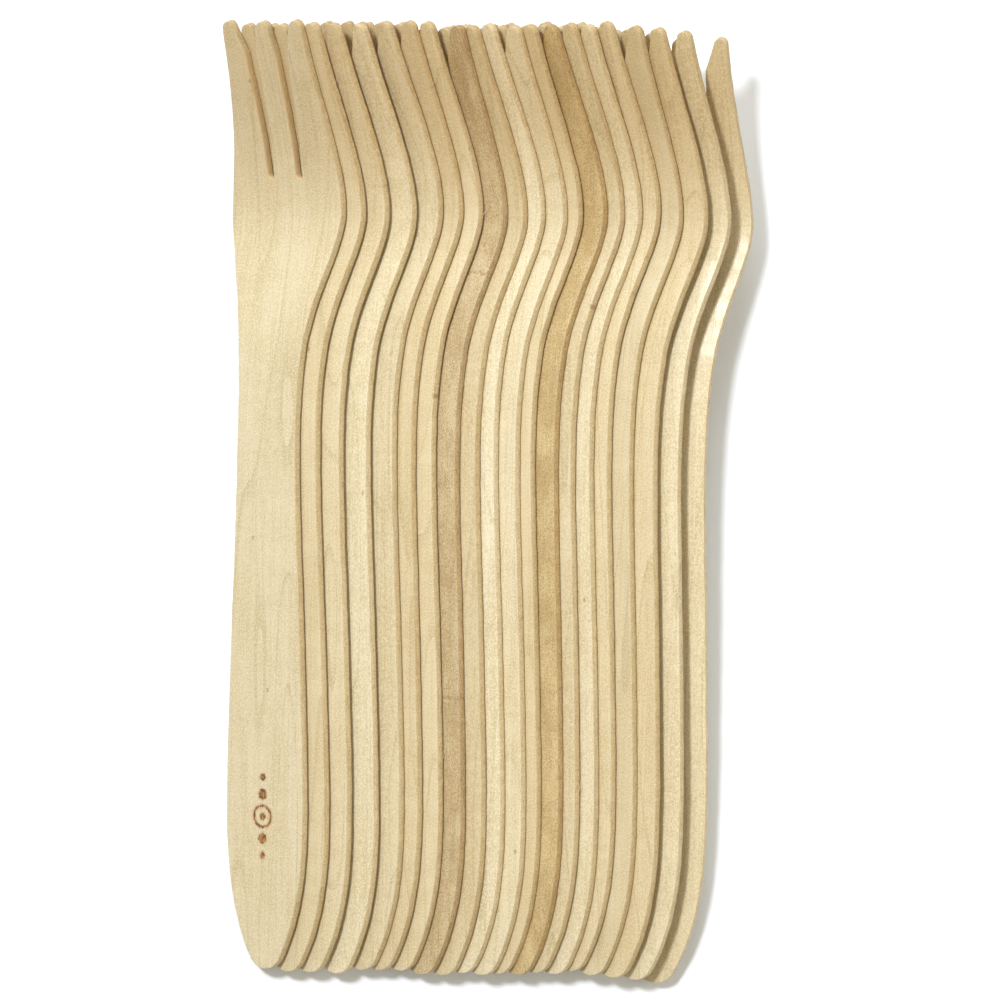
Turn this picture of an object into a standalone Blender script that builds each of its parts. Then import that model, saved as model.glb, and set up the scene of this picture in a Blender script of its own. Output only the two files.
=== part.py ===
"""A fanned pack of twenty pressed wooden forks.

Each fork is one sheet of birch, cut to outline and pressed so that its bowl dips and its tines rise.
The forks lie in a row like fallen dominoes: each stands on its left edge and leans on the next.
Metres, +Z up, tines towards +Y. The origin is the middle of the pack's footprint, on the table.
"""

import math

import bmesh
import bpy
from mathutils import Matrix, Vector
from mathutils.bvhtree import BVHTree

MM = 0.001

# One fork, flat, in mm: stations run from the handle's end (0) to the tips.
LENGTH = 158.2
THICKNESS = 1.5
END_RADIUS = 3.3
END_JOIN = math.radians(61)
# (station, half width, slope) along the fork's side.
SIDE_KEYS = (
    (14.5, 7.1, 0.16),
    (28.0, 7.9, 0.0),
    (45.0, 7.5, -0.035),
    (62.0, 6.85, -0.045),
    (79.0, 6.15, -0.03),
    (92.0, 5.95, 0.0),
    (104.0, 6.6, 0.10),
    (112.0, 8.1, 0.25),
    (120.5, 10.4, 0.24),
    (126.5, 11.35, 0.0),
    (138.5, 9.95, -0.14),
    (151.0, 8.45, -0.08),
    (156.9, 8.1, -0.05),
)
SIDE_STEP = 4.5

# Tines and slots: each slot narrows from its mouth to a round root.
SLOT_ROOT = 132.0
SLOT_ROOT_RADIUS = 0.7
SLOT_ROOT_OFFSET = 2.95
SLOT_INNER = (1.85, 153)
SLOT_OUTER = (4.35, 153)
OUTER_TIP = ((6.0, 157.7), (6.7, LENGTH), (7.5, 158.0))
MIDDLE_TIP = ((1.15, 157.2), (0.6, 157.8))
MIDDLE_TIP_TOP = 158.0

# The press, in mm: (station, height, slope) of the fork's lower face.
PRESS_KEYS = (
    (80.0, 0.0, 0.0),
    (103.0, -0.95, -0.10),
    (115.0, -3.3, -0.25),
    (127.0, -5.5, 0.0),
    (143.0, -3.1, 0.27),
    (LENGTH, 2.0, 0.28),
)
PRESS_STATIONS = (87, 94, 100, 105, 109, 113, 117, 121, 125, 129, 134, 139, 145, 152, 156)

# The fan, from the fork on top (left) to the lowest (right).
PITCH = math.radians(3.7)
TILT = math.radians(35)
LAST_TILTS = (math.radians(29), math.radians(17))
CLEARANCE = 0.12
WAIST = 62.0
FAR = 100.0
DOWN = Vector((0, 0, -1))
# How far each fork's side shows past the one before it, at its waist, in mm.
STEPS = (3.5, 3.8, 4.5, 4.3, 3.1, 3.4, 3.8, 3.4, 3.1, 3.5, 2.6, 3.7, 2.8, 3.1, 2.9, 3.6, 3.9, 4.0, 4.2)
# How far each fork lies back from the first, in mm, and how far it is turned, in degrees.
SLIDES = (0, 0.4, 0.5, 0.7, 0.1, 0.1, 0.2, 0.8, 0.9, 0.5, 0.8, 0.6, 0.7, 0.4, 0.6, 0.1, 0.8, 1.1, 1.5, 2.2)
TURNS = (0, -0.2, -0.1, -0.1, 0.0, 0.2, 0.1, 0.3, 0.2, 0.1, 0.2, 0.2, 0.5, 0.5, 0.4, 0.5, 0.6, 0.8, 0.9, 1.2)
# How light each fork's wood is.
TONES = (0.74, 0.72, 0.73, 0.78, 0.72, 0.70, 0.74, 0.52, 0.72, 0.78, 0.78, 0.73, 0.56, 0.73, 0.72, 0.73, 0.71,
         0.69, 0.73, 0.71)


def smooth(keys, at):
    """The height of a smooth line through (station, value, slope) keys."""
    if at <= keys[0][0]:
        return keys[0][1]
    for (x0, y0, s0), (x1, y1, s1) in zip(keys, keys[1:]):
        if at <= x1:
            span = x1 - x0
            t = (at - x0) / span
            start = (2 * t**3 - 3 * t**2 + 1) * y0 + (t**3 - 2 * t**2 + t) * span * s0
            return start + (3 * t**2 - 2 * t**3) * y1 + (t**3 - t**2) * span * s1
    return keys[-1][1]


def right_side():
    """The right side of the outline, from the middle of the handle's end to the outer tip."""
    points = [(0.0, 0.0)]
    for step in range(1, 5):
        angle = END_JOIN * step / 4
        points.append((END_RADIUS * math.sin(angle), END_RADIUS * (1 - math.cos(angle))))
    first = (points[-1][1], points[-1][0], 1 / math.tan(END_JOIN))
    keys = (first, *SIDE_KEYS)
    count = round((PRESS_STATIONS[0] - first[0]) / SIDE_STEP)
    handle = [first[0] + (PRESS_STATIONS[0] - first[0]) * step / count for step in range(1, count)]
    for station in (*handle, *PRESS_STATIONS, SIDE_KEYS[-1][0]):
        points.append((smooth(keys, station), station))
    return points


def right_tines():
    """The rest of the right half: round the outer tip, down and up the slot, to the middle tine's tip."""
    points = list(reversed(OUTER_TIP))
    points.append(SLOT_OUTER)
    centre = (SLOT_ROOT_OFFSET, SLOT_ROOT + SLOT_ROOT_RADIUS)
    for step in range(5):
        angle = math.radians(-180 * step / 4)
        points.append((centre[0] + SLOT_ROOT_RADIUS * math.cos(angle),
                       centre[1] + SLOT_ROOT_RADIUS * math.sin(angle)))
    points.append(SLOT_INNER)
    points.extend(MIDDLE_TIP)
    return points


def outline():
    right = right_side() + right_tines()
    left = [(-x, y) for x, y in reversed(right[1:])]
    return right + [(0.0, MIDDLE_TIP_TOP)] + left


def blank():
    """The flat outline, filled, with a cut across it at each station where the press bends it."""
    mesh = bmesh.new()
    mesh.faces.new([mesh.verts.new((x, y, 0)) for x, y in outline()])
    mesh.normal_update()
    bmesh.ops.triangulate(mesh, faces=mesh.faces[:])
    for station in PRESS_STATIONS:
        everything = mesh.verts[:] + mesh.edges[:] + mesh.faces[:]
        bmesh.ops.bisect_plane(mesh, geom=everything, plane_co=(0, station, 0), plane_no=(0, 1, 0), dist=0.02)
    spare = [edge for edge in mesh.edges if not crosses(edge)]
    bmesh.ops.dissolve_edges(mesh, edges=spare, use_verts=False, use_face_split=False)
    mesh.normal_update()
    bmesh.ops.triangulate(mesh, faces=mesh.faces[:])
    return mesh


def crosses(edge):
    """Whether an edge lies along one of the press's bends, or is part of the outline."""
    low, high = sorted(vert.co.y for vert in edge.verts)
    return edge.is_boundary or high - low < 0.05


def fork_mesh():
    """The blank thickened and pressed: both faces keep their distance square to the bend."""
    mesh = blank()
    made = bmesh.ops.extrude_face_region(mesh, geom=mesh.faces[:])
    upper = {item for item in made["geom"] if isinstance(item, bmesh.types.BMVert)}
    for vert in mesh.verts:
        station = vert.co.y
        slope = smooth(PRESS_KEYS, station + 0.5) - smooth(PRESS_KEYS, station - 0.5)
        normal = Vector((0, -slope, 1)).normalized()
        vert.co.z = smooth(PRESS_KEYS, station)
        if vert in upper:
            vert.co += normal * THICKNESS
    bmesh.ops.recalc_face_normals(mesh, faces=mesh.faces)
    if mesh.calc_volume(signed=True) < 0:
        bmesh.ops.reverse_faces(mesh, faces=mesh.faces[:])
    return mesh


def wood(name, tone):
    material = bpy.data.materials.new(name)
    material.use_nodes = True
    shader = material.node_tree.nodes["Principled BSDF"]
    shader.inputs["Base Color"].default_value = (tone, tone * 0.80, tone * 0.56, 1)
    shader.inputs["Roughness"].default_value = 0.62
    shader.inputs["Metallic"].default_value = 0.0
    return material


def drop(tree, point, direction):
    """The height at which a plumb line through a point meets a fork, coming from far above or below."""
    return tree.ray_cast(point - direction * FAR, direction)[0]


def rise_of(points, faces, lower):
    """How far a fork has to rise to stand on the table and to clear the fork under it."""
    rise = -min(point.z for point in points)
    if lower is None:
        return rise
    lower_points, lower_faces = lower
    own = BVHTree.FromPolygons(points, faces)
    other = BVHTree.FromPolygons(lower_points, lower_faces)
    for point in points + lower_points:
        top = drop(other, point, DOWN)
        bottom = drop(own, point, -DOWN)
        if top is not None and bottom is not None:
            rise = max(rise, top.z - bottom.z + CLEARANCE / math.cos(TILT))
    return rise


def fan(shape):
    """Each fork's pose, from the first to the last. The lowest is set down first, and the rest lean on it."""
    count = len(TURNS)
    tilts = (TILT,) * (count - len(LAST_TILTS)) + LAST_TILTS
    flat = [vert.co.copy() for vert in shape.verts]
    faces = [[vert.index for vert in face.verts] for face in shape.faces]
    waist = Vector((smooth(SIDE_KEYS, WAIST), WAIST, 0))
    poses = []
    lower = None
    for index in reversed(range(count)):
        turn = Matrix.Rotation(math.radians(-TURNS[index]), 4, "Z")
        pose = turn @ Matrix.Rotation(PITCH, 4, "X") @ Matrix.Rotation(-tilts[index], 4, "Y")
        side = pose @ waist
        pose = Matrix.Translation((sum(STEPS[:index]) - side.x, WAIST - SLIDES[index] - side.y, 0)) @ pose
        points = [pose @ point for point in flat]
        rise = Vector((0, 0, rise_of(points, faces, lower)))
        lower = ([point + rise for point in points], faces)
        poses.append((Matrix.Translation(rise) @ pose, lower[0]))
    poses.reverse()
    every = [point for _, points in poses for point in points]
    middle = Vector((min(p.x for p in every) + max(p.x for p in every),
                     min(p.y for p in every) + max(p.y for p in every), 0)) / 2
    return [Matrix.Translation(-middle) @ pose for pose, _ in poses]


def main():
    for item in list(bpy.data.objects):
        bpy.data.objects.remove(item)
    shape = fork_mesh()
    for number, (pose, tone) in enumerate(zip(fan(shape), TONES), start=1):
        mesh = bpy.data.meshes.new(f"fork_{number:02d}")
        shape.to_mesh(mesh)
        mesh.transform(Matrix.Scale(MM, 4))
        mesh.materials.append(wood(f"birch_{number:02d}", tone))
        fork = bpy.data.objects.new(f"fork_{number:02d}", mesh)
        fork.location = pose.translation * MM
        fork.rotation_euler = pose.to_euler()
        bpy.context.scene.collection.objects.link(fork)
    shape.free()


main()
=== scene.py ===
# %% [markdown]
# # A fanned pack of pressed wooden forks
#
# Each fork is one sheet of birch veneer, about a millimetre and a half thick. A die cuts the outline
# and a heated press bends the sheet, so that the bowl dips and the tines rise again. Twenty of them
# lie in a row like fallen dominoes, each one leaning on the next.
#
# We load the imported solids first. They say where every fork lies, and the detailed forks that we
# make here take their places.

# %% Load the solids
import math

import bmesh
import bpy
from mathutils import Matrix, Vector, noise


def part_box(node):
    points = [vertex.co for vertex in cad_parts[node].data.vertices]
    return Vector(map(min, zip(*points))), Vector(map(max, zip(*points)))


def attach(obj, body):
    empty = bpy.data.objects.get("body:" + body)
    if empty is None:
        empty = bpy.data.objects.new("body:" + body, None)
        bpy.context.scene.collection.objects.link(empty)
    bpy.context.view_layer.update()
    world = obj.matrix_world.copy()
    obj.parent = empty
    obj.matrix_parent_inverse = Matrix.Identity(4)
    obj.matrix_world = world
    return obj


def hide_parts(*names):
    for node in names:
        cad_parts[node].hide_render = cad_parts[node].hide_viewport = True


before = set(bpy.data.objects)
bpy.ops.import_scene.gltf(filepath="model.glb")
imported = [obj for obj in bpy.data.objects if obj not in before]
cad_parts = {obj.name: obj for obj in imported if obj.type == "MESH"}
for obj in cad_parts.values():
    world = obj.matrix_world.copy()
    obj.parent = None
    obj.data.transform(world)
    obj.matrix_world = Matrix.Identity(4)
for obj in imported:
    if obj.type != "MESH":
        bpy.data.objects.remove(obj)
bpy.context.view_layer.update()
MM = 0.001
fork_names = sorted(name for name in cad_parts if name.startswith("fork_"))

# %% [markdown]
# ## The shape of one fork
#
# A cutter's drawing gives the half width at a few stations along the fork, and a smooth curve joins
# them. Hermite curves suit this: each key holds a station, a value and a slope, so the curve passes
# through the key in the direction that we ask for. The same kind of curve gives the press's profile,
# which is how high the sheet lies at each station. All sizes are in millimetres here.

# %% The cutter's and the press's drawings
LENGTH = 158.2
THICKNESS = 1.5
END_RADIUS = 3.3
END_JOIN = math.radians(61)
SIDE_KEYS = (
    (14.5, 7.1, 0.16),
    (28.0, 7.9, 0.0),
    (45.0, 7.5, -0.035),
    (62.0, 6.85, -0.045),
    (79.0, 6.15, -0.03),
    (92.0, 5.95, 0.0),
    (104.0, 6.6, 0.10),
    (112.0, 8.1, 0.25),
    (120.5, 10.4, 0.24),
    (126.5, 11.35, 0.0),
    (138.5, 9.95, -0.14),
    (151.0, 8.45, -0.08),
    (156.9, 8.1, -0.05),
)
PRESS_KEYS = (
    (80.0, 0.0, 0.0),
    (103.0, -0.95, -0.10),
    (115.0, -3.3, -0.25),
    (127.0, -5.5, 0.0),
    (LENGTH, 2.0, 0.28),
)


def smooth(keys, at):
    """The value at a station of the smooth curve through (station, value, slope) keys."""
    if at <= keys[0][0]:
        return keys[0][1]
    for (x0, y0, s0), (x1, y1, s1) in zip(keys, keys[1:]):
        if at <= x1:
            span = x1 - x0
            t = (at - x0) / span
            start = (2 * t**3 - 3 * t**2 + 1) * y0 + (t**3 - 2 * t**2 + t) * span * s0
            return start + (3 * t**2 - 2 * t**3) * y1 + (t**3 - t**2) * span * s1
    return keys[-1][1]


print(f"widest {2 * smooth(SIDE_KEYS, 126.5):.1f} mm, lowest {smooth(PRESS_KEYS, 127):.1f} mm")

# %% [markdown]
# ## The outline
#
# We walk once round the fork: round the handle's end, up the side, over the outer tine's tip, down
# into the slot, round its root and up to the middle tine. The left half mirrors the right half.
# A die that cuts wood never leaves a perfect line, because it tears some fibres, so each point is
# pushed in or out by a few hundredths of a millimetre. Smooth noise does this better than random
# numbers, because its bumps have a length, as torn fibres do.

# %% Walk round the outline
SIDE_STEP = 1.0
SLOT_STEP = 1.6
SLOT_ROOT = Vector((2.95, 132.7))
SLOT_RADIUS = 0.7
SLOT_OUTER = Vector((4.35, 153.0))
SLOT_INNER = Vector((1.85, 153.0))
OUTER_TIP = ((8.05, 157.3), (7.85, 157.75), (7.5, 158.05), (7.1, 158.18), (6.7, 158.2), (6.35, 158.05),
             (6.05, 157.75))
MIDDLE_TIP = ((1.2, 157.1), (1.0, 157.55), (0.65, 157.85), (0.3, 158.0))
MIDDLE_TOP = Vector((0.0, 158.05))
CURVE_STEPS = 6
ROOT_STEPS = 8
UNEVEN = 0.065


def between(a, b, step):
    """Points from a to b, with the first left out."""
    count = max(1, round((b - a).length / step))
    return [a.lerp(b, k / count) for k in range(1, count + 1)]


def half_outline():
    """The right half, from the handle's end to the middle tine's tip."""
    angles = [END_JOIN * k / CURVE_STEPS for k in range(CURVE_STEPS + 1)]
    points = [END_RADIUS * Vector((math.sin(angle), 1 - math.cos(angle))) for angle in angles]
    first = (points[-1].y, points[-1].x, 1 / math.tan(END_JOIN))
    keys = (first, *SIDE_KEYS)
    count = round((SIDE_KEYS[-1][0] - first[0]) / SIDE_STEP)
    for k in range(1, count + 1):
        station = first[0] + (SIDE_KEYS[-1][0] - first[0]) * k / count
        points.append(Vector((smooth(keys, station), station)))
    points += [Vector(p) for p in OUTER_TIP]
    points += between(points[-1], SLOT_OUTER, SLOT_STEP)
    arc = [SLOT_ROOT + SLOT_RADIUS * Vector((math.cos(angle), math.sin(angle)))
           for angle in (-math.pi * k / ROOT_STEPS for k in range(ROOT_STEPS + 1))]
    points += between(SLOT_OUTER, arc[0], SLOT_STEP) + arc[1:]
    points += between(arc[-1], SLOT_INNER, SLOT_STEP)
    points += between(SLOT_INNER, Vector(MIDDLE_TIP[0]), SLOT_STEP)
    points += [Vector(p) for p in MIDDLE_TIP[1:]]
    return points


def outline(seed):
    """The whole outline, a little uneven, and different for each seed."""
    half = half_outline()
    whole = half + [MIDDLE_TOP] + [Vector((-p.x, p.y)) for p in reversed(half[1:])]
    shaken = []
    for k, point in enumerate(whole):
        along = (whole[(k + 1) % len(whole)] - whole[k - 1]).normalized()
        place = Vector((point.x * 0.5 + 31 * seed, point.y * 0.35, seed * 7.7))
        push = noise.noise(place) + 0.8 * noise.noise(place * 3.1)
        shaken.append(point + Vector((along.y, -along.x)) * push * UNEVEN)
    return shaken


print(f"{len(outline(1))} points round the outline")

# %% [markdown]
# ## The blank
#
# The blank is the flat sheet before it is pressed. We fill the outline with triangles and then slice
# the sheet across at many stations, because a flat face can only bend where it has an edge. A few
# slices lengthwise let the sheet twist as well.
#
# Each point remembers its place on the flat sheet in an attribute called *grain*. Wood grain belongs
# to the sheet and not to the room, so the material reads this attribute and follows every bend.

# %% Cut the blank
BEND_START = 80.0
BEND_STEP = 1.6
HANDLE_STEP = 8
LONG_SLICES = (-6.5, -4.0, -1.3, 1.3, 4.0, 6.5)


def slice_through(mesh, place, direction):
    """Gives the flat mesh edges along a line, and takes nothing away."""
    everything = mesh.verts[:] + mesh.edges[:] + mesh.faces[:]
    bmesh.ops.bisect_plane(mesh, geom=everything, plane_co=place, plane_no=direction, dist=0.01)


def cut_blank(name, seed):
    """A flat sheet, sliced where it will bend, that knows its grain and the height it is pressed to."""
    mesh = bmesh.new()
    mesh.faces.new([mesh.verts.new((p.x, p.y, 0)) for p in outline(seed)])
    mesh.normal_update()
    bmesh.ops.triangulate(mesh, faces=mesh.faces[:])
    station = BEND_START
    while station < LENGTH - 1:
        slice_through(mesh, (0, station, 0), (0, 1, 0))
        station += BEND_STEP
    for station in range(HANDLE_STEP, int(BEND_START), HANDLE_STEP):
        slice_through(mesh, (0, station, 0), (0, 1, 0))
    for lane in LONG_SLICES:
        slice_through(mesh, (lane, 0, 0), (1, 0, 0))
    bmesh.ops.remove_doubles(mesh, verts=mesh.verts[:], dist=0.012)
    made = bpy.data.meshes.new(name)
    mesh.to_mesh(made)
    mesh.free()
    spots = [vert.co.copy() for vert in made.vertices]
    grain = made.attributes.new("grain", "FLOAT_VECTOR", "POINT")
    grain.data.foreach_set("vector", [value for spot in spots for value in spot])
    press = made.attributes.new("press", "FLOAT", "POINT")
    press.data.foreach_set("value", [smooth(PRESS_KEYS, spot.y) for spot in spots])
    return made


trial = cut_blank("trial_blank", 0)
print(f"{len(trial.polygons)} faces in a blank")
bpy.data.meshes.remove(trial)

# %% [markdown]
# ## The press, as Geometry Nodes
#
# Pressing is a rule: move every point of the sheet to the die's height, and give the sheet its
# thickness square to its surface. A small Geometry Nodes tree says exactly that. Its inputs are the
# thickness, a slight warp that differs from fork to fork, and a seed. *Extrude Mesh* raises the upper
# face and builds the walls, and the flipped sheet closes the underside. The tree also marks the walls
# with an attribute called *cut*, so that the material can tell a cut edge from a sliced face, and
# the upper face with one called *layer*, which then runs from 0 to 1 up the walls.

# %% Build the press
WARP = 0.08
RIPPLE_SCALE = 0.035
WELD = 0.002


def new_tree(name, inputs):
    """A tree with geometry in and out, and the inputs given as (label, kind, value)."""
    tree = bpy.data.node_groups.new(name, "GeometryNodeTree")
    tree.interface.new_socket("Geometry", in_out="INPUT", socket_type="NodeSocketGeometry")
    for label, kind, value in inputs:
        socket = tree.interface.new_socket(label, in_out="INPUT", socket_type=kind)
        if value is not None:
            socket.default_value = value
    tree.interface.new_socket("Geometry", in_out="OUTPUT", socket_type="NodeSocketGeometry")
    return tree


def add(tree, kind, settings=None, **links):
    """A new node. Settings are its properties, and links are its inputs: a socket or a plain value.

    An input goes by its name with _ for each space, or by its number as i0, i1 and so on.
    """
    node = tree.nodes.new(kind)
    for key, value in (settings or {}).items():
        setattr(node, key, value)
    for key, value in links.items():
        socket = node.inputs[int(key[1:])] if key[1:].isdigit() else node.inputs[key.replace("_", " ")]
        if isinstance(value, bpy.types.NodeSocket):
            tree.links.new(value, socket)
        else:
            socket.default_value = value
    return node


def calc(tree, operation, first, second=0.0):
    """One step of arithmetic on numbers."""
    return add(tree, "ShaderNodeMath", {"operation": operation}, i0=first, i1=second).outputs[0]


def calc_vector(tree, operation, first, second):
    """One step of arithmetic on vectors."""
    return add(tree, "ShaderNodeVectorMath", {"operation": operation}, i0=first, i1=second).outputs[0]


def named(tree, name):
    """A number that each point or face carries under this name."""
    node = add(tree, "GeometryNodeInputNamedAttribute", {"data_type": "FLOAT"}, Name=name)
    return node.outputs["Attribute"]


def close_tree(tree, geometry, finish):
    """Ends the tree: the geometry takes its material and goes out."""
    finished = add(tree, "GeometryNodeSetMaterial", Geometry=geometry, Material=finish)
    tree.links.new(finished.outputs[0], tree.nodes.new("NodeGroupOutput").inputs[0])
    return tree


def press_tree():
    tree = new_tree("Press the blank", (
        ("Thickness", "NodeSocketFloat", THICKNESS),
        ("Warp", "NodeSocketFloat", WARP),
        ("Seed", "NodeSocketInt", 0),
        ("Finish", "NodeSocketMaterial", None),
    ))
    given = tree.nodes.new("NodeGroupInput").outputs
    place = tree.nodes.new("GeometryNodeInputPosition").outputs[0]
    ripple = add(tree, "ShaderNodeTexNoise", {"noise_dimensions": "4D"}, Vector=place, W=given["Seed"],
                 Scale=RIPPLE_SCALE).outputs[0]
    warp = calc(tree, "MULTIPLY", calc(tree, "SUBTRACT", ripple, 0.5), given["Warp"])
    lift = add(tree, "ShaderNodeCombineXYZ", Z=calc(tree, "ADD", warp, named(tree, "press")))
    bent = add(tree, "GeometryNodeSetPosition", Geometry=given["Geometry"], Offset=lift.outputs[0])
    raised = add(tree, "GeometryNodeExtrudeMesh", {"mode": "FACES"}, Mesh=bent.outputs[0],
                 Offset_Scale=given["Thickness"], Individual=False)
    under = add(tree, "GeometryNodeFlipFaces", Mesh=bent.outputs[0])
    joined = tree.nodes.new("GeometryNodeJoinGeometry")
    walls = add(tree, "GeometryNodeStoreNamedAttribute", {"data_type": "FLOAT", "domain": "FACE"},
                Geometry=raised.outputs["Mesh"], Name="cut", Value=raised.outputs["Side"])
    layers = add(tree, "GeometryNodeStoreNamedAttribute", {"data_type": "FLOAT", "domain": "POINT"},
                 Geometry=walls.outputs[0], Name="layer", Value=raised.outputs["Top"])
    tree.links.new(layers.outputs[0], joined.inputs[0])
    tree.links.new(under.outputs[0], joined.inputs[0])
    closed = add(tree, "GeometryNodeMergeByDistance", Geometry=joined.outputs[0], Distance=WELD)
    real = add(tree, "GeometryNodeRealizeInstances", Geometry=closed.outputs[0])
    return close_tree(tree, real.outputs[0], given["Finish"])


PRESS = press_tree()
print(f"the press has {len(PRESS.nodes)} nodes")

# %% [markdown]
# ## Torn fibres, as Geometry Nodes
#
# A die leaves a few fibres standing on the cut edges. They are what makes wood look cut and not
# moulded. We scatter points on the walls alone, put a thin spike on each, and lay it nearly along
# the fork, because fibres run lengthwise. A spike has only four sides, since there are hundreds. The
# tree runs twice over each fork, first for many short fibres and then for a few long ones.

# %% Build the scatter of fibres
SHORT_FIBRES = {"Density": 0.055, "Fibre length": 0.75, "Fibre radius": 0.045}
LONG_FIBRES = {"Density": 0.010, "Fibre length": 2.2, "Fibre radius": 0.075}
LONG_SEED = 50
OUTWARD = 0.22
SMALLEST = 0.35
FIBRE_CUT = 0.35


def fibre_tree():
    tree = new_tree("Stand fibres on the edges", (
        *((label, "NodeSocketFloat", value) for label, value in SHORT_FIBRES.items()),
        ("Seed", "NodeSocketInt", 0),
        ("Finish", "NodeSocketMaterial", None),
    ))
    given = tree.nodes.new("NodeGroupInput").outputs
    on_wall = add(tree, "FunctionNodeCompare", {"data_type": "FLOAT", "operation": "GREATER_THAN"},
                  A=named(tree, "cut"), B=0.5)
    points = add(tree, "GeometryNodeDistributePointsOnFaces", Mesh=given["Geometry"],
                 Selection=on_wall.outputs[0], Density=given["Density"], Seed=given["Seed"])
    spike = add(tree, "GeometryNodeMeshCone", Vertices=4, Radius_Top=0.004,
                Radius_Bottom=given["Fibre radius"], Depth=given["Fibre length"])
    lengthwise = add(tree, "FunctionNodeRandomValue", {"data_type": "FLOAT_VECTOR"}, Seed=given["Seed"])
    lengthwise.inputs["Min"].default_value = (-0.22, 0.6, -0.15)
    lengthwise.inputs["Max"].default_value = (0.22, 1.0, 0.22)
    outward = add(tree, "ShaderNodeVectorMath", {"operation": "SCALE"}, i0=points.outputs["Normal"],
                  Scale=OUTWARD)
    lean = calc_vector(tree, "ADD", lengthwise.outputs[0], outward.outputs[0])
    turn = add(tree, "FunctionNodeAlignRotationToVector", {"axis": "Z"}, Vector=lean)
    size = add(tree, "FunctionNodeRandomValue", {"data_type": "FLOAT"}, Seed=given["Seed"])
    for socket in size.inputs:
        if socket.enabled and socket.name == "Min":
            socket.default_value = SMALLEST
    stood = add(tree, "GeometryNodeInstanceOnPoints", Points=points.outputs[0], Instance=spike.outputs[0],
                Rotation=turn.outputs[0], Scale=size.outputs[1])
    real = add(tree, "GeometryNodeRealizeInstances", Geometry=stood.outputs[0])
    edged = add(tree, "GeometryNodeStoreNamedAttribute", {"data_type": "FLOAT", "domain": "FACE"},
                Geometry=real.outputs[0], Name="cut", Value=FIBRE_CUT)
    joined = tree.nodes.new("GeometryNodeJoinGeometry")
    tree.links.new(edged.outputs[0], joined.inputs[0])
    tree.links.new(given["Geometry"], joined.inputs[0])
    return close_tree(tree, joined.outputs[0], given["Finish"])


FIBRES = fibre_tree()
print(f"the scatter has {len(FIBRES.nodes)} nodes")

# %% [markdown]
# ## Birch
#
# Birch veneer is pale cream with a fine, straight grain, a broad soft figure where the knife met the
# growth rings at a slant, and short brown flecks. We build all of it from noise that is stretched
# along the sheet. Two sheets in the pack come from darker heartwood, one greyish and one orange, so
# the colour is an argument. Edges are darker and rougher, because cut fibres swallow the light.

# %% Small helpers for materials
def stretched(tree, place, scale, detail=3.0, distortion=0.0):
    """Noise on the sheet's own coordinates, with its own scale along each of them."""
    sized = calc_vector(tree, "MULTIPLY", place, scale)
    return add(tree, "ShaderNodeTexNoise", Vector=sized, Scale=1.0, Detail=detail,
               Distortion=distortion).outputs["Fac"]


def band(tree, value, low, high, to_low=0.0, to_high=1.0):
    """A value spread smoothly from low..high to to_low..to_high, and held outside."""
    node = add(tree, "ShaderNodeMapRange", {"interpolation_type": "SMOOTHSTEP"}, i0=value, i1=low, i2=high,
               i3=to_low, i4=to_high)
    return node.outputs[0]


def blend(tree, amount, first, second, kind="MIX"):
    """Lays the second colour over the first by this amount."""
    settings = {"data_type": "RGBA", "blend_type": kind}
    return add(tree, "ShaderNodeMix", settings, i0=amount, i6=first, i7=second).outputs[2]


def lay_over(tree, shade, layers):
    """Lays each (value, low, high, to_low, to_high, colour) over the shade in turn."""
    for value, low, high, to_low, to_high, colour in layers:
        shade = blend(tree, band(tree, value, low, high, to_low, to_high), shade, colour)
    return shade


def jitter(tree, value, crumbs, amount):
    """The value made ragged by noise, by up to half of the amount each way."""
    return calc(tree, "ADD", value, calc(tree, "MULTIPLY", calc(tree, "SUBTRACT", crumbs, 0.5), amount))


print("helpers ready")

# %% [markdown]
# ### A burnt mark
#
# The top fork has a small brown mark burnt into its handle, a plain column of dots with a ring round
# the middle one. Each shape is a distance worked out from the sheet's coordinates. A smooth step turns
# the distance into burnt or not burnt, with a paler scorch around it, and noise makes the line ragged,
# because a hot stamp never bites evenly.

# %% Work out where the wood is burnt
MARK_CENTRE = (-0.4, 25.6, 0.0)
MARK_RING = 1.75
MARK_DOTS = ((0.0, 0.60), (3.7, 0.85), (6.6, 0.55))
LINE_HALF = 0.2


def burn_mark(tree, sheet, crumbs):
    """How burnt the wood is: 0 clean, 1 dark brown."""
    flat = calc_vector(tree, "MULTIPLY", calc_vector(tree, "SUBTRACT", sheet, MARK_CENTRE), (1, 1, 0))
    reach = add(tree, "ShaderNodeVectorMath", {"operation": "LENGTH"}, i0=flat).outputs["Value"]
    nearest = calc(tree, "ABSOLUTE", calc(tree, "SUBTRACT", reach, MARK_RING))
    for up, radius in MARK_DOTS:
        for side in (1, -1) if up else (1,):
            apart = add(tree, "ShaderNodeVectorMath", {"operation": "DISTANCE"}, i0=flat,
                        i1=(0, side * up, 0))
            dot = calc(tree, "SUBTRACT", apart.outputs["Value"], radius - LINE_HALF)
            nearest = calc(tree, "MINIMUM", nearest, dot)
    ragged = jitter(tree, nearest, crumbs, 0.5)
    core = band(tree, ragged, 0.12, 0.34, 1.0, 0.0)
    halo = band(tree, ragged, 0.15, 0.75, 0.30, 0.0)
    return calc(tree, "MAXIMUM", core, halo)


print(f"the mark is {2 * (MARK_DOTS[-1][0] + MARK_DOTS[-1][1]):.1f} mm long")

# %% [markdown]
# ### The face of the sheet
#
# Every layer below changes the colour by a few percent only. Pale wood looks wrong when its grain is
# too strong, so most of the work is in choosing small numbers. A layer is a noise, the span of it that
# shows, how strongly it shows at the two ends of the span, and its colour.

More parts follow.
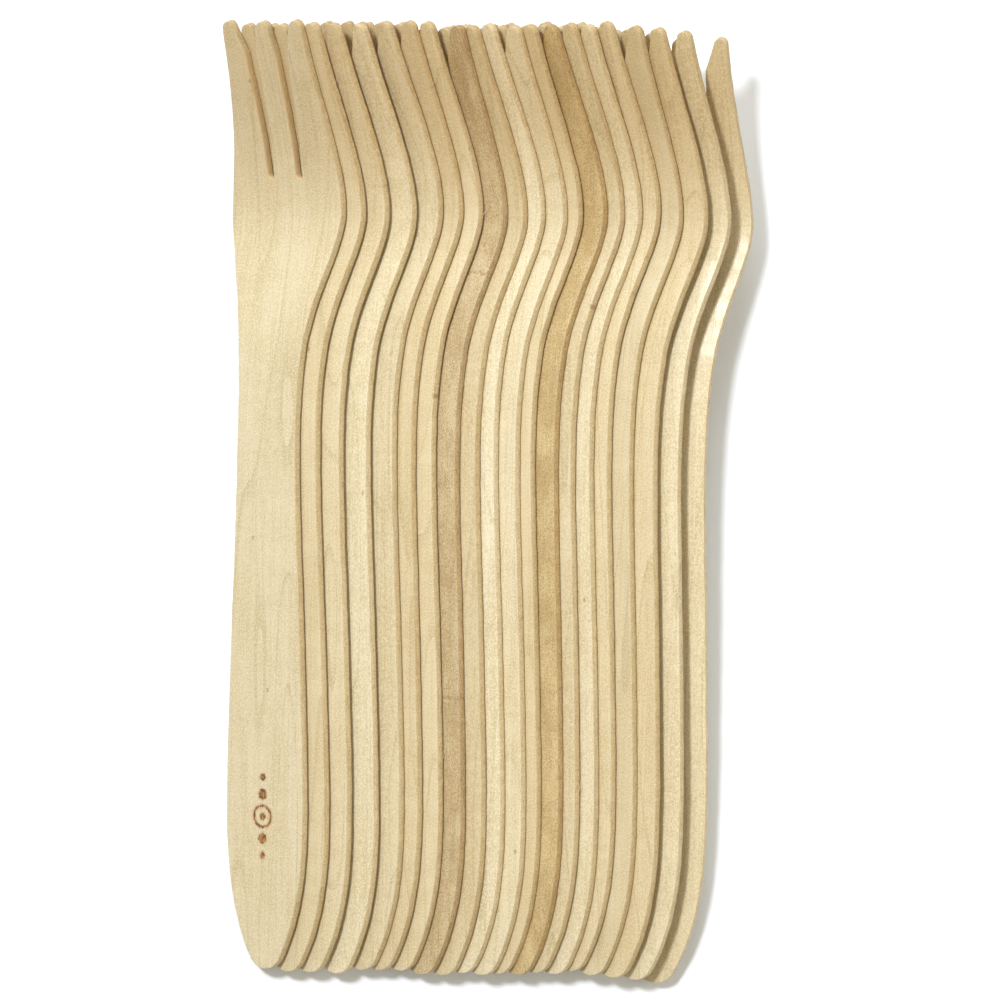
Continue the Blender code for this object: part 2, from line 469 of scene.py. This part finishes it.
# %% Colour the face
PALE = (0.66, 0.580, 0.392)
GREY_BROWN = (0.54, 0.445, 0.27)
ORANGE_TAN = (0.56, 0.445, 0.235)
FLECK = (0.31, 0.185, 0.075, 1)
PIN_SPACING = 27.0
PIN_RADIUS = 0.22
GROWTH_RINGS = 10.0


def shade_of(colour, red, green, blue):
    return (min(1, colour[0] * red), min(1, colour[1] * green), min(1, colour[2] * blue), 1)


def palest(colour):
    return shade_of(colour, 1.08, 1.10, 1.17)


def noises_of(tree, place):
    """The noises that the colour, the shine and the relief share."""
    return {
        "shimmer": stretched(tree, place, (0.14, 0.30, 0.2), distortion=0.6),
        "threads": stretched(tree, place, (9.0, 0.42, 9.0)),
        "speckle": stretched(tree, place, (5.6, 3.6, 5.6), detail=4.0),
        "ridges": stretched(tree, place, (1.2, 3.2, 0.5)),
        "fuzz": stretched(tree, place, (3.0, 1.0, 5.5), detail=4.0),
    }


def pin_distance(tree, place):
    """How far each point is from the nearest of the dark pin knots, in mm."""
    squashed = calc_vector(tree, "MULTIPLY", place, (1.0, 0.6, 1.0))
    pins = add(tree, "ShaderNodeTexVoronoi", {"voronoi_dimensions": "2D"}, Vector=squashed,
               Scale=1 / PIN_SPACING)
    return calc(tree, "MULTIPLY", pins.outputs["Distance"], PIN_SPACING)


def face_colour(tree, place, noises, colour, coarse):
    warm = shade_of(colour, 0.90, 0.85, 0.74)
    dull = shade_of(colour, 0.80, 0.76, 0.66)
    pale = palest(colour)
    clouds = stretched(tree, place, (0.20, 0.030, 0.2), detail=2.0)
    hills = stretched(tree, place, (0.075, 0.0085, 0.075), detail=1.0)
    rings = calc(tree, "FRACT", calc(tree, "MULTIPLY", hills, GROWTH_RINGS))
    streaks = stretched(tree, place, (2.6, 0.055, 2.4), detail=5.0)
    dashes = stretched(tree, place, (3.6, 0.55, 3.6), detail=1.0)
    layers = [
        (clouds, 0.36, 0.66, 0.0, 0.65, warm),
        # Painted sheen: the shimmer's patches are painted paler and duller, as planed birch catches the
        # light.
        (noises["shimmer"], 0.52, 0.72, 0.0, 0.50, pale),
        (noises["shimmer"], 0.48, 0.28, 0.0, 0.30, dull),
        (rings, 0.0, 0.14, 0.85, 0.0, dull),
        (streaks, 0.50, 0.68, 0.0, 0.42, dull),
        (streaks, 0.48, 0.32, 0.0, 0.38, pale),
        (noises["threads"], 0.48, 0.70, 0.0, 0.11 + coarse, FLECK),
        (noises["speckle"], 0.49, 0.63, 0.0, 0.26 + coarse * 1.3, FLECK),
        (noises["speckle"], 0.48, 0.37, 0.0, 0.85, pale),
        (dashes, 0.71, 0.77, 0.0, 0.34 + coarse, FLECK),
        (pin_distance(tree, place), PIN_RADIUS * 0.5, PIN_RADIUS * 1.6, 0.65, 0.0, FLECK),
    ]
    if coarse:
        blotches = stretched(tree, place, (0.35, 0.16, 0.45), detail=6.0, distortion=0.3)
        layers += [
            (blotches, 0.48, 0.66, 0.0, 0.34, shade_of(colour, 0.62, 0.52, 0.4)),
            (blotches, 0.48, 0.34, 0.0, 0.26, shade_of(colour, 1.22, 1.25, 1.32)),
        ]
    return lay_over(tree, (*colour, 1), layers)


print(f"pale birch is {PALE}")

# %% [markdown]
# ### The cut edge
#
# An edge shows the ends of the cut fibres, so it is fuzzier and a little darker than the face. The
# attribute *layer* runs up it from 0 to 1, which gives a painted shadow, a dark line where it meets the
# sheet below, and a pale line at its upper arris. The slots' walls are painted a warmer, lighter brown:
# painted light, for the light that bounces in them.

# %% Colour the edge
SLOT_PAINTED_LIGHT = (0.82, 0.64, 0.38, 1)
EDGE_SHADE = (0.99, 0.945, 0.85, 1)
SLOT_LIGHT_SHARE = 0.80


def cracked(tree, shade, noises, station, crack):
    """A ragged dark line across the sheet at the crack's station."""
    wander = calc(tree, "MULTIPLY", calc(tree, "SUBTRACT", noises["fuzz"], 0.5), 2.2)
    away = calc(tree, "ADD", calc(tree, "SUBTRACT", station, crack), wander)
    return lay_over(tree, shade, [(calc(tree, "ABSOLUTE", away), 0.06, 0.24, 0.75, 0.0, FLECK)])


def inside_slots(tree, across, station):
    """1 on the walls of the two slots, and 0 on the outer edges."""
    near = band(tree, calc(tree, "ABSOLUTE", across), 4.9, 4.6)
    above_root = band(tree, station, 131.0, 132.5)
    below_tips = band(tree, station, 155.0, 151.0)
    return calc(tree, "MULTIPLY", near, calc(tree, "MULTIPLY", above_root, below_tips))


def edge_colour(tree, shade, noises, layer, colour, coarse):
    pale = palest(colour)
    fuzz = noises["fuzz"]
    ragged = jitter(tree, layer, fuzz, 0.35)
    return lay_over(tree, blend(tree, 1.0, shade, EDGE_SHADE, "MULTIPLY"), [
        (fuzz, 0.46, 0.68, 0.0, 0.30 + coarse, FLECK),
        (noises["ridges"], 0.50, 0.70, 0.0, 0.22, FLECK),
        (fuzz, 0.44, 0.30, 0.0, 0.55, pale),
        # Painted shadow: a dark line at the foot of the edge, where it meets the sheet below.
        (ragged, 0.03, 0.14, 0.75, 0.0, FLECK),
        (ragged, 0.82, 0.98, 0.0, 0.35, pale),
    ])


print(f"slot walls are {SLOT_PAINTED_LIGHT[:3]}")

# %% [markdown]
# ### The whole material
#
# The grain coordinates are shifted by a different amount for each fork, so no two share a pattern.
# The head is painted a little browner and darker than the handle: painted shade, because its tines
# rise away from the light. Roughness follows the shimmer, which gives the silky look of planed birch,
# and a shallow bump carries the finest fibres.

# %% Put the birch together
HEAD_PAINTED_SHADE = (0.82, 0.75, 0.65, 1)
SCORCHED = (0.37, 0.185, 0.06, 1)
BURNT = (0.130, 0.050, 0.016, 1)
CRACKS = {"fork_08": (46.8, 117.0)}
SHEET_SHIFT = Vector((41.0, 67.0, 13.0))
ROUGHEST, SMOOTHEST, CUT_ROUGHER = 0.44, 0.30, 0.35
SHINE = 0.60
RELIEF_STRENGTH = 0.7
RELIEF_DEPTH = 0.05 * MM


def carried(tree, name, output):
    """What each point carries under this name."""
    return add(tree, "ShaderNodeAttribute", {"attribute_name": name}).outputs[output]


def weighted(tree, terms):
    """The sum of each value times its weight."""
    total = None
    for value, weight in terms:
        term = calc(tree, "MULTIPLY", value, weight)
        total = term if total is None else calc(tree, "ADD", total, term)
    return total


def birch(name, colour, seed, coarse=0.0, marked=False, cracks=()):
    material = bpy.data.materials.new(name)
    material.use_nodes = True
    tree = material.node_tree
    shader = tree.nodes["Principled BSDF"]
    grain = carried(tree, "grain", "Vector")
    layer = carried(tree, "layer", "Fac")
    cut = carried(tree, "cut", "Fac")
    across, station = add(tree, "ShaderNodeSeparateXYZ", i0=grain).outputs[:2]
    depth = add(tree, "ShaderNodeCombineXYZ", Z=calc(tree, "MULTIPLY", layer, THICKNESS)).outputs[0]
    place = calc_vector(tree, "ADD", calc_vector(tree, "ADD", grain, depth), SHEET_SHIFT * seed)
    noises = noises_of(tree, place)

    shade = face_colour(tree, place, noises, colour, coarse)
    for crack in cracks:
        shade = cracked(tree, shade, noises, station, crack)
    edge = edge_colour(tree, shade, noises, layer, colour, coarse)
    # Painted light: the slots' walls are lightened for the light that bounces in them.
    slot_light_here = calc(tree, "MULTIPLY", inside_slots(tree, across, station), SLOT_LIGHT_SHARE)
    edge = blend(tree, slot_light_here, edge, SLOT_PAINTED_LIGHT)
    shade = blend(tree, cut, shade, edge)
    # Painted shade: the head darkens towards the tines, which rise away from the light.
    head_in_painted_shade = blend(tree, 1.0, shade, HEAD_PAINTED_SHADE, "MULTIPLY")
    shade = lay_over(tree, shade, [(station, 112.0, 148.0, 0.0, 1.0, head_in_painted_shade)])
    if marked:
        crumbs = stretched(tree, place, (3.0, 1.6, 3.0), detail=4.0)
        burnt = calc(tree, "MULTIPLY", burn_mark(tree, grain, crumbs), band(tree, layer, 0.9, 0.97))
        shade = blend(tree, burnt, shade, blend(tree, band(tree, crumbs, 0.36, 0.60), BURNT, SCORCHED))
    tree.links.new(shade, shader.inputs["Base Color"])

    rough = band(tree, noises["shimmer"], 0.3, 0.7, ROUGHEST, SMOOTHEST)
    rough = calc(tree, "ADD", rough, calc(tree, "MULTIPLY", cut, CUT_ROUGHER))
    tree.links.new(rough, shader.inputs["Roughness"])
    shader.inputs["Specular IOR Level"].default_value = SHINE
    on_face = weighted(tree, ((noises["threads"], 0.5), (noises["speckle"], 0.8), (noises["shimmer"], 2.2)))
    on_cut = weighted(tree, ((noises["fuzz"], 3.0), (noises["ridges"], 2.0)))
    relief = calc(tree, "ADD", on_face, calc(tree, "MULTIPLY", on_cut, cut))
    bump = add(tree, "ShaderNodeBump", Height=relief, Strength=RELIEF_STRENGTH, Distance=RELIEF_DEPTH)
    tree.links.new(bump.outputs[0], shader.inputs["Normal"])
    return material


trial = birch("trial_birch", PALE, 0)
print(f"a birch has {len(trial.node_tree.nodes)} nodes")
bpy.data.materials.remove(trial)

# %% [markdown]
# ## Each fork's finish
#
# No two sheets of veneer have the same colour. A short table names how light each fork is and how
# yellow, and two forks are of the darker sheets.

# %% Mix one birch for each fork
LIGHTNESS = (0.94, 0.96, 0.99, 1.05, 0.96, 0.94, 1.0, 1.0, 0.93, 1.09,
             1.04, 0.96, 1.0, 0.95, 1.03, 0.98, 0.95, 0.97, 1.03, 0.99)
YELLOWNESS = (0.0, 0.03, 0.0, -0.06, 0.02, 0.08, 0.03, 0.0, 0.08, -0.10,
              -0.04, 0.07, 0.0, 0.04, -0.04, 0.05, 0.02, 0.09, -0.02, 0.04)
DARK_SHEETS = {"fork_08": GREY_BROWN, "fork_13": ORANGE_TAN}
COARSE = 0.34
YELLOW_ON_GREEN = 0.35

finishes = {}
for number, name in enumerate(fork_names):
    red, green, blue = (channel * LIGHTNESS[number] for channel in DARK_SHEETS.get(name, PALE))
    yellow = YELLOWNESS[number]
    tint = (red, green * (1 - YELLOW_ON_GREEN * yellow), blue * (1 - yellow))
    coarse = COARSE if name in DARK_SHEETS else 0.0
    label = name.replace("fork", "birch")
    finishes[name] = birch(label, tint, number + 1, coarse, marked=number == 0, cracks=CRACKS.get(name, ()))
print(f"{len(finishes)} finishes")

# %% [markdown]
# ## Where each fork lies
#
# Every fork stands on its left edge and leans to the right. Three turns give its attitude: the lean
# about its own length, a slight pitch, because the bowl holds the head up, and a small turn on the
# table, in degrees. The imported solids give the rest. A box round the turned fork must be the box round its
# solid, so the difference between the two middles is how far to move it.

# %% Work out each fork's pose
PITCH = math.radians(3.7)
LEAN = math.radians(35)
LAST_LEANS = (math.radians(29), math.radians(17))
TURNS = (0, -0.2, -0.1, -0.1, 0.0, 0.2, 0.1, 0.3, 0.2, 0.1, 0.2, 0.2, 0.5, 0.5, 0.4, 0.5, 0.6, 0.8, 0.9, 1.2)
LEANS = (LEAN,) * (len(TURNS) - len(LAST_LEANS)) + LAST_LEANS


def attitude(number):
    """How a fork is turned and leaned, and scaled from millimetres to metres."""
    turn = Matrix.Rotation(math.radians(-TURNS[number]), 4, "Z")
    pitch = Matrix.Rotation(PITCH, 4, "X")
    lean = Matrix.Rotation(-LEANS[number], 4, "Y")
    return turn @ pitch @ lean @ Matrix.Scale(MM, 4)


def middle_of(points):
    low = Vector(min(p[axis] for p in points) for axis in range(3))
    high = Vector(max(p[axis] for p in points) for axis in range(3))
    return (low + high) / 2


def pose_of(name, number, points):
    """The matrix that puts a pressed fork, in its own millimetres, where its solid lies."""
    turned = attitude(number)
    low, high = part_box(name)
    shift = (Vector(low) + Vector(high)) / 2 - middle_of([turned @ point for point in points])
    return Matrix.Translation(shift) @ turned


print(f"leaning {math.degrees(LEAN):.0f} degrees, pitched {math.degrees(PITCH):.1f}")

# %% [markdown]
# ## Press all twenty
#
# For each fork we cut a blank, run it through the press, break its sharp arrises with a narrow bevel
# as sanding does, and stand the fibres on its edges. *new_from_object* then freezes the result as a
# plain mesh, and the fork is put in its place. A short table says how far each right tine has set
# inwards, in millimetres, as damp wood does when it dries.

# %% Press, sand and place the forks
ARRIS = 0.07
ARRIS_ANGLE = math.radians(55)
SHARP_ANGLE = math.radians(40)
SET_START = 134.0
SET_CURVE = 1.5
RIGHT_TINE = 2.3
TINE_SETS = (0.1, 0.7, 1.3, 1.5, 1.9, 1.3, 1.6, 0.5, 1.6, 1.8, 1.3, 1.2, 2.1, 1.7, 1.6, 1.7, 0.5, 1.1, 1.1, 0)


def set_inputs(modifier, values):
    """Fills a modifier's inputs by name, through each socket's identifier."""
    for item in modifier.node_group.interface.items_tree:
        if item.item_type == "SOCKET" and item.in_out == "INPUT" and item.name in values:
            modifier[item.identifier] = values[item.name]


def frozen(worker):
    """The worker's evaluated shape as a plain mesh."""
    graph = bpy.context.evaluated_depsgraph_get()
    return bpy.data.meshes.new_from_object(worker.evaluated_get(graph))


def run_tree(mesh, tree, values, bevel=0.0):
    """The mesh after the tree and, where a bevel is given, after its arrises are broken."""
    worker = bpy.data.objects.new("worker", mesh)
    bpy.context.scene.collection.objects.link(worker)
    nodes = worker.modifiers.new("tree", "NODES")
    nodes.node_group = tree
    set_inputs(nodes, values)
    if bevel:
        sanding = worker.modifiers.new("sanding", "BEVEL")
        sanding.width = bevel
        sanding.segments = 2
        sanding.limit_method = "ANGLE"
        sanding.angle_limit = ARRIS_ANGLE
        sanding.use_clamp_overlap = True
    made = frozen(worker)
    bpy.data.objects.remove(worker)
    return made


def set_tine(mesh, amount):
    """Bends the right tine inwards by this much at its tip."""
    for vert, spot in zip(mesh.vertices, mesh.attributes["grain"].data):
        if spot.vector.x > RIGHT_TINE and spot.vector.y > SET_START:
            vert.co.x -= amount * ((spot.vector.y - SET_START) / (LENGTH - SET_START)) ** SET_CURVE


def make_fork(name, number):
    """One detailed fork, lying where its solid lies."""
    blank = cut_blank(f"{name}_blank", number + 1)
    finish = finishes[name]
    pressed = run_tree(blank, PRESS, {"Seed": number, "Finish": finish}, bevel=ARRIS)
    pose = pose_of(name, number, [vert.co for vert in pressed.vertices])
    set_tine(pressed, TINE_SETS[number])
    furry = run_tree(pressed, FIBRES, {**SHORT_FIBRES, "Seed": number, "Finish": finish})
    furry = run_tree(furry, FIBRES, {**LONG_FIBRES, "Seed": number + LONG_SEED, "Finish": finish})
    furry.transform(pose)
    furry.materials.clear()
    furry.materials.append(finish)
    furry.shade_smooth()
    furry.set_sharp_from_angle(angle=SHARP_ANGLE)
    fork = bpy.data.objects.new(name.replace("fork", "birch_fork"), furry)
    bpy.context.scene.collection.objects.link(fork)
    return fork


forks = []
for number, name in enumerate(fork_names):
    fork = make_fork(name, number)
    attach(fork, "root")
    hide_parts(name)
    forks.append(fork)
print(f"{len(forks)} forks, {sum(len(fork.data.polygons) for fork in forks)} faces")

# %% [markdown]
# ## The table and the light
#
# The pack lies on a plain white table. A broad lamp above the upper left gives the soft shadows to
# the right, and a bright, even surround fills them, as white walls do in a studio.

# %% Table, lamps and surround
TABLE_COLOUR = (0.86, 0.915, 1.0, 1)
TABLE_HALF = 3.0
COOL = (0.975, 0.99, 1.0)
WARM = (1.0, 0.93, 0.82)
SURROUND_COLOUR = (1.0, 0.89, 0.70, 1)
SURROUND_STRENGTH = 0.42


def make_table():
    material = bpy.data.materials.new("white_table")
    material.use_nodes = True
    shader = material.node_tree.nodes["Principled BSDF"]
    shader.inputs["Base Color"].default_value = TABLE_COLOUR
    shader.inputs["Roughness"].default_value = 0.9
    mesh = bpy.data.meshes.new("table")
    corners = [(x * TABLE_HALF, y * TABLE_HALF, 0) for x, y in ((-1, -1), (1, -1), (1, 1), (-1, 1))]
    mesh.from_pydata(corners, [], [(0, 1, 2, 3)])
    mesh.materials.append(material)
    table = bpy.data.objects.new("table", mesh)
    bpy.context.scene.collection.objects.link(table)


def make_lamp(name, place, size, power, colour):
    """A round lamp that points at the pack."""
    light = bpy.data.lights.new(name, "AREA")
    light.shape = "DISK"
    light.color = colour
    light.size = size
    light.energy = power
    lamp = bpy.data.objects.new(name, light)
    lamp.location = place
    lamp.rotation_euler = (-Vector(place)).to_track_quat("-Z", "Y").to_euler()
    bpy.context.scene.collection.objects.link(lamp)


make_table()
make_lamp("key", (-0.39, 0.40, 1.08), 0.20, 12.0, COOL)
make_lamp("window", (-0.15, 1.30, 0.75), 0.80, 10.0, COOL)
make_lamp("right_fill", (1.20, -0.05, 0.80), 1.00, 6.5, WARM)
world = bpy.data.worlds.new("studio")
world.use_nodes = True
background = world.node_tree.nodes["Background"]
background.inputs["Color"].default_value = SURROUND_COLOUR
background.inputs["Strength"].default_value = SURROUND_STRENGTH
bpy.context.scene.world = world
bpy.context.scene.view_settings.view_transform = "Standard"
print("table, lamp and surround ready")

# %% [markdown]
# ## The camera
#
# We look straight down from nearly a metre with a long lens, so that the forks keep their shape and
# only the tops of the left ones lean a little outwards.

# %% Place the camera
CAMERA_HEIGHT = 0.90
VIEW_WIDTH = 0.16807
CAMERA_SIDE = 2.3 * MM
CAMERA_ROLL = math.radians(0.35)
CAMERA_UP = 0.65 * MM
SENSOR = 36.0

lens = bpy.data.cameras.new("camera")
lens.sensor_width = SENSOR
lens.lens = SENSOR * CAMERA_HEIGHT / VIEW_WIDTH
lens.clip_end = 20.0
camera = bpy.data.objects.new("camera", lens)
camera.location = (CAMERA_SIDE, CAMERA_UP, CAMERA_HEIGHT)
camera.rotation_euler = (0, 0, CAMERA_ROLL)
bpy.context.scene.collection.objects.link(camera)
bpy.context.scene.camera = camera
print(f"lens {lens.lens:.0f} mm")
